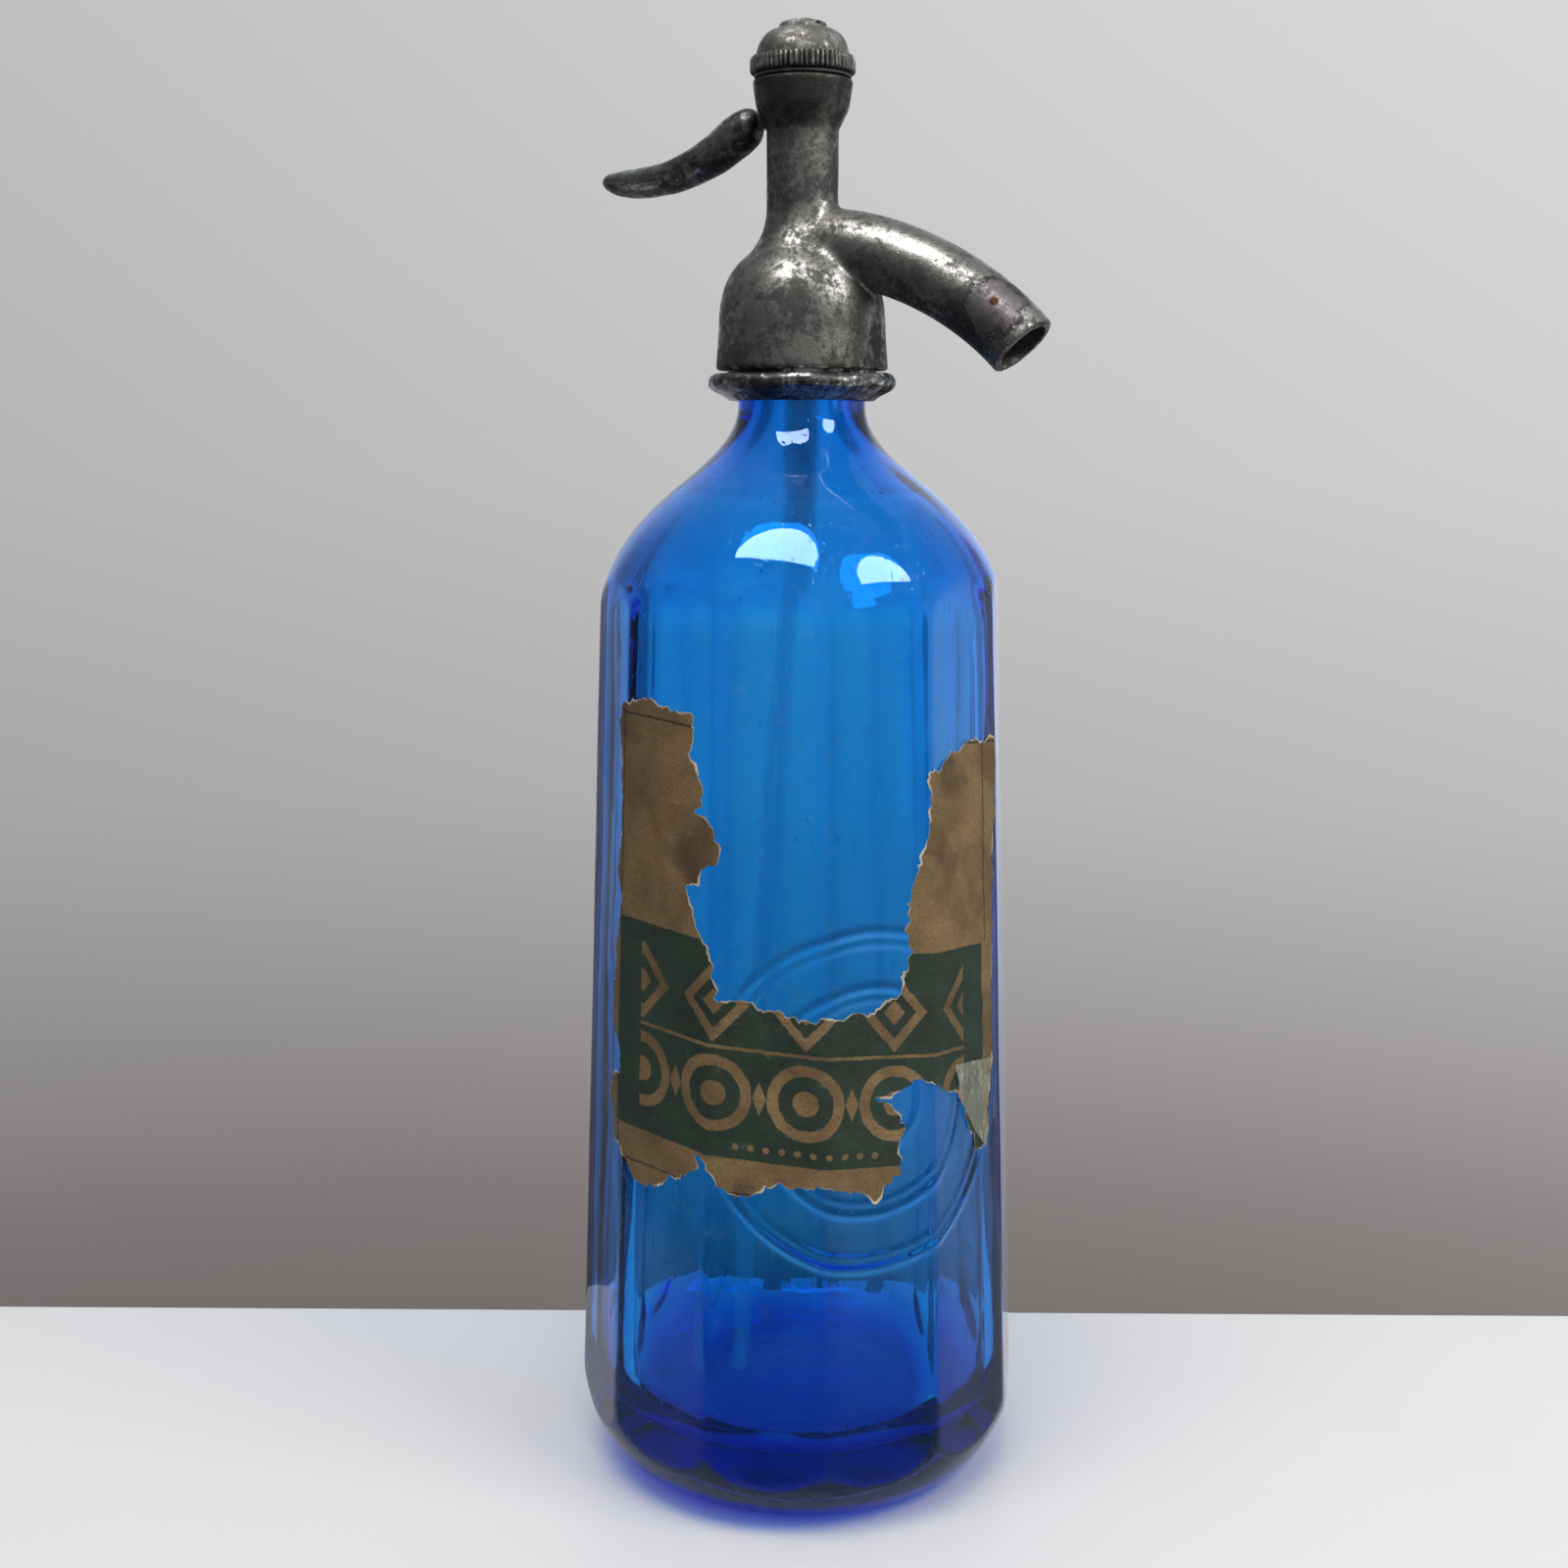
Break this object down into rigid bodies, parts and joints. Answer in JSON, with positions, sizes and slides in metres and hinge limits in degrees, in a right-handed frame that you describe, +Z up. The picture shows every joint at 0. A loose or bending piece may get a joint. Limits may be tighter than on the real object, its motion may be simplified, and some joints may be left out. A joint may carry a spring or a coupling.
{
  "type": "soda siphon",
  "caption": "Faceted blue glass siphon bottle with a torn paper label and a cast pewter head: a curved spout, a thumb lever, a sprung valve and a dip tube.",
  "frame": {"origin": "centre of the bottle's flat base, on the bottle's axis", "axes": "+Z up along the bottle, +X towards the spout's mouth, the lever towards -X"},
  "size_m": [0.1033, 0.0978, 0.3085],
  "materials": {
    "blue_glass": "clear cobalt blue pressed glass, dusty and lightly scratched",
    "kraft_paper": "matt brown paper with a dark green band, creased and torn",
    "pewter": "dull dark tin alloy casting, mottled and worn bright on the high places",
    "collar_metal": "worn bright tin alloy with black tarnish",
    "steel": "drawn steel wire",
    "brass": "turned brass, dulled",
    "black_rubber": "matt black rubber",
    "clear_tube": "clear drawn glass tube",
    "grey_sleeve": "grey rubber sleeve"
  },
  "bodies": {
    "bottle_and_head": {"bottle": "blue_glass", "label": "kraft_paper", "collar_rear_half": "collar_metal", "collar_front_half": "collar_metal", "lip_gasket": "black_rubber", "head_body": "pewter", "spout": "pewter", "lever_pin": "steel", "valve_spring": "steel", "gland_packing": "black_rubber", "gland_nut": "brass", "valve_seat": "brass", "tube_grommet": "black_rubber", "tube_nut": "brass", "dip_tube": "clear_tube", "tube_sleeve": "grey_sleeve", "cap": "pewter", "cap_washer": "black_rubber"},
    "thumb_lever": {"lever": "pewter"},
    "plunger": {"plunger_rod": "brass", "spring_seat": "brass", "valve_disc": "brass", "valve_washer": "black_rubber", "valve_screw": "brass"}
  },
  "joints": [
    {"name": "lever_pivot", "type": "hinge", "parent": "bottle_and_head", "child": "thumb_lever", "pos_m": [-0.006, 0, 0.2896], "axis": [0, -1, 0], "range_deg": [0, 18], "stiffness_Nm_per_rad": 0.8, "springref_deg": -11.46},
    {"name": "plunger_slide", "type": "slide", "parent": "bottle_and_head", "child": "plunger", "axis": [0, 0, 1], "range_m": [0, 0.00195], "deforming": ["valve_spring"]}
  ],
  "couplings": [
    {"joint": "lever_pivot", "follows": "plunger_slide", "rad_per_m": 161}
  ]
}
